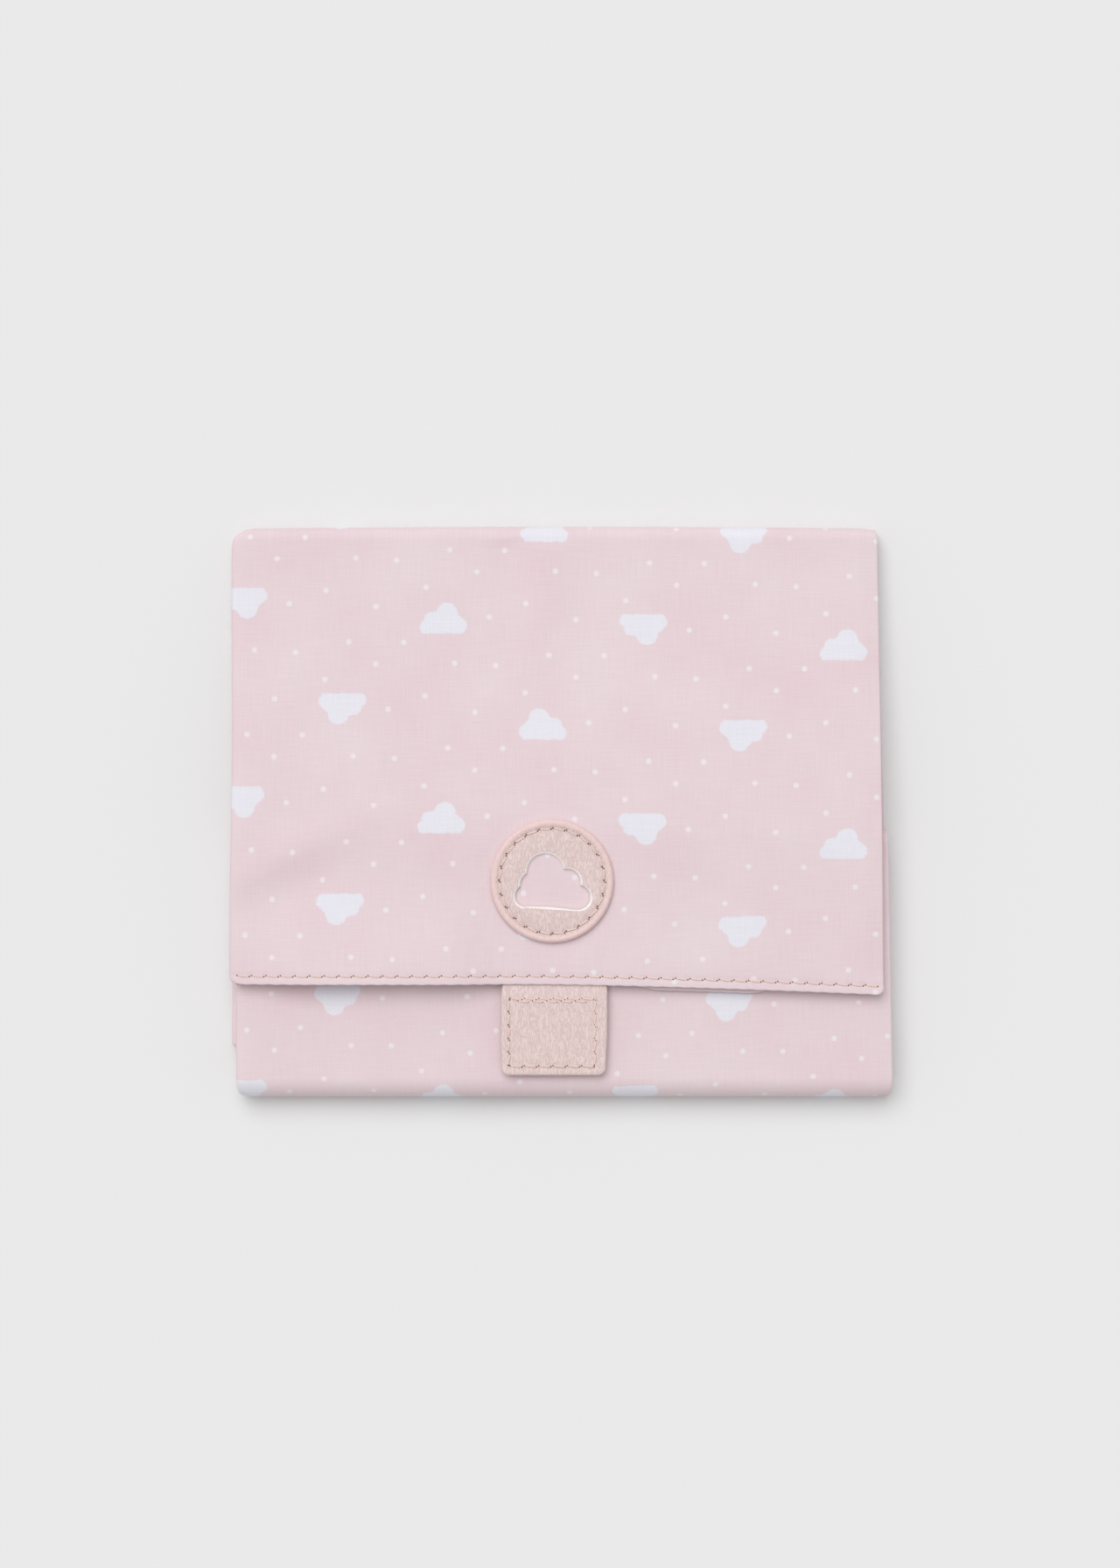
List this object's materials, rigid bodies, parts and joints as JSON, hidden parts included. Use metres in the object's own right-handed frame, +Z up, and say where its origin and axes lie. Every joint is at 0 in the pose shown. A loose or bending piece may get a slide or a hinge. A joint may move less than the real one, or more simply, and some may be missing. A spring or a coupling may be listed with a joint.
{
  "type": "changing pad",
  "caption": "Portable padded changing mat, folded up and closed with a tab: soft printed cotton outside, wipe-clean lining inside, for changing a baby away from home.",
  "frame": {"origin": "middle of the underside of the closed pad, on the surface that it lies on", "axes": "+X to the right across the pad's width, +Y from the closing edge to the top fold, +Z up out of the printed flap"},
  "size_m": [0.2324, 0.2004, 0.0213],
  "materials": {
    "printed_cotton": "soft matte printed plain weave",
    "wadding": "white needled fibre",
    "wipe_clean_lining": "smooth coated cloth",
    "thread": "twisted sewing thread",
    "leatherette": "fine grained leatherette",
    "leatherette_backing": "brushed back of leatherette",
    "hook_tape": "stiff hook tape",
    "loop_tape": "soft loop pile"
  },
  "bodies": {
    "back": {"back_lower_shell": "printed_cotton", "back_lower_wadding": "wadding", "back_lower_lining": "wipe_clean_lining", "back_upper_lining": "wipe_clean_lining", "back_upper_wadding": "wadding", "back_upper_shell": "printed_cotton", "back_side_turn_shell": "printed_cotton", "back_side_turn_wadding": "wadding", "top_fold_outer_shell": "printed_cotton", "top_fold_padding": "wadding", "top_fold_inner_shell": "printed_cotton", "bottom_fold_outer_shell": "printed_cotton", "bottom_fold_padding": "wadding", "bottom_fold_inner_shell": "printed_cotton"},
    "front": {"front_lower_shell": "printed_cotton", "front_lower_wadding": "wadding", "front_lower_lining": "wipe_clean_lining", "front_upper_lining": "wipe_clean_lining", "front_upper_wadding": "wadding", "front_upper_shell": "printed_cotton", "front_side_turn_shell": "printed_cotton", "front_side_turn_wadding": "wadding", "end_lower_shell": "printed_cotton", "end_lower_wadding": "wadding", "end_lower_lining": "wipe_clean_lining", "end_upper_lining": "wipe_clean_lining", "end_upper_wadding": "wadding", "end_upper_shell": "printed_cotton", "end_side_turn_shell": "printed_cotton", "end_side_turn_wadding": "wadding", "inner_fold_outer_shell": "printed_cotton", "inner_fold_padding": "wadding", "inner_fold_inner_shell": "printed_cotton", "end_hem_stitching": "thread", "front_loop_tape": "loop_tape", "front_loop_tape_stitching": "thread"},
    "flap": {"flap_lower_shell": "printed_cotton", "flap_lower_wadding": "wadding", "flap_lower_lining": "wipe_clean_lining", "flap_upper_lining": "wipe_clean_lining", "flap_upper_wadding": "wadding", "flap_upper_shell": "printed_cotton", "flap_side_turn_shell": "printed_cotton", "flap_side_turn_wadding": "wadding", "flap_hem_stitching": "thread", "tab_sewn_in_end": "leatherette", "badge_disc": "leatherette", "badge_stitching": "thread"},
    "tab": {"tab_face": "leatherette", "tab_backing": "leatherette_backing", "tab_hook_tape": "hook_tape", "tab_stitching": "thread"}
  },
  "joints": [
    {"name": "flap_fold", "type": "hinge", "parent": "back", "child": "flap", "pos_m": [0, 0.0975, 0.00465], "axis": [-1, 0, 0], "range_deg": [0, 173], "deforming": ["top_fold_outer_shell", "top_fold_padding", "top_fold_inner_shell"]},
    {"name": "front_fold", "type": "hinge", "parent": "back", "child": "front", "pos_m": [0, -0.0961, 0.0071], "axis": [1, 0, 0], "range_deg": [0, 177.4], "deforming": ["bottom_fold_outer_shell", "bottom_fold_padding", "bottom_fold_inner_shell"]},
    {"name": "tab_lift", "type": "hinge", "parent": "flap", "child": "tab", "pos_m": [-0.0025, -0.0629, 0.019], "axis": [-1, 0, 0], "range_deg": [0, 140]}
  ],
  "couplings": [
    {"joint": "front_fold", "follows": "flap_fold", "ratio": 1.025}
  ]
}
